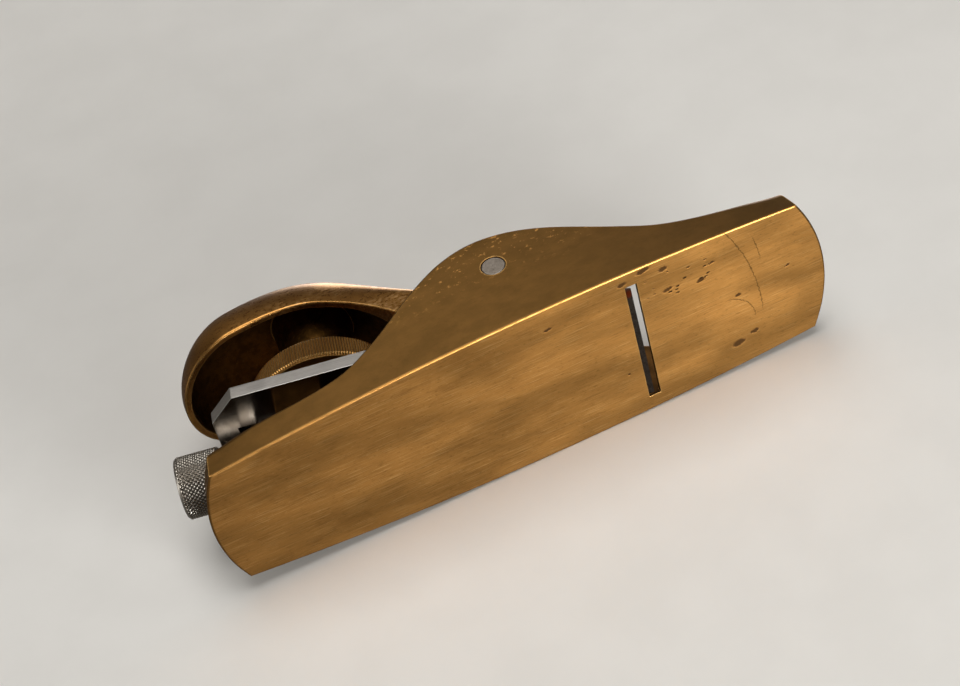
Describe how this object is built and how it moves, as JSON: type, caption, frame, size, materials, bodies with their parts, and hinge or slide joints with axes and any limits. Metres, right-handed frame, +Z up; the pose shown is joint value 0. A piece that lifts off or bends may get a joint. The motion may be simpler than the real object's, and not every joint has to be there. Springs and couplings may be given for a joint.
{
  "type": "low-angle block plane",
  "caption": "Small low-angle bronze block plane with a palm-shaped lever cap, clamp wheel and knurled depth adjuster.",
  "frame": {"origin": "middle of the sole, on the sole plane, midway between toe and heel", "axes": "+X towards the toe, +Y towards the left cheek, +Z up out of the sole"},
  "size_m": [0.143, 0.041, 0.0503],
  "materials": {
    "bronze_casting": "ground, aged",
    "turned_bronze": "turned and knurled",
    "tool_steel": "surface ground",
    "pin_steel": "filed flush",
    "screw_steel": "turned",
    "stainless_steel": "diamond knurled"
  },
  "bodies": {
    "plane_body": {"body": "bronze_casting", "cross_pin": "pin_steel", "adjuster_stud": "screw_steel"},
    "blade": {"blade": "tool_steel"},
    "adjuster_nut": {"adjuster_nut": "stainless_steel"},
    "lever_cap": {"lever_cap": "bronze_casting"},
    "clamp_screw": {"clamp_screw": "screw_steel"},
    "clamp_wheel": {"clamp_wheel": "turned_bronze"}
  },
  "joints": [
    {"name": "blade_feed", "type": "slide", "parent": "plane_body", "child": "blade", "axis": [0.977, 0, -0.213], "range_m": [-0.004, 0.00125]},
    {"name": "adjuster_turn", "type": "hinge", "parent": "blade", "child": "adjuster_nut", "pos_m": [-0.05541, 0, 0.0123], "axis": [0.977, 0, -0.213], "range_deg": [-1810, 570]},
    {"name": "cap_rock", "type": "hinge", "parent": "plane_body", "child": "lever_cap", "pos_m": [0.00473, 0, 0.01771], "axis": [0, -1, 0], "range_deg": [0, 3]},
    {"name": "screw_travel", "type": "slide", "parent": "lever_cap", "child": "clamp_screw", "axis": [0.213, 0, 0.977], "range_m": [0, 0.00207]},
    {"name": "wheel_turn", "type": "hinge", "parent": "clamp_screw", "child": "clamp_wheel", "pos_m": [-0.03651, 0, 0.02246], "axis": [0.213, 0, 0.977], "range_deg": [0, 600]}
  ],
  "couplings": [
    {"joint": "adjuster_turn", "follows": "blade_feed", "rad_per_m": 7854},
    {"joint": "wheel_turn", "follows": "screw_travel", "rad_per_m": 5026.5},
    {"joint": "cap_rock", "follows": "screw_travel", "rad_per_m": 24.213}
  ]
}
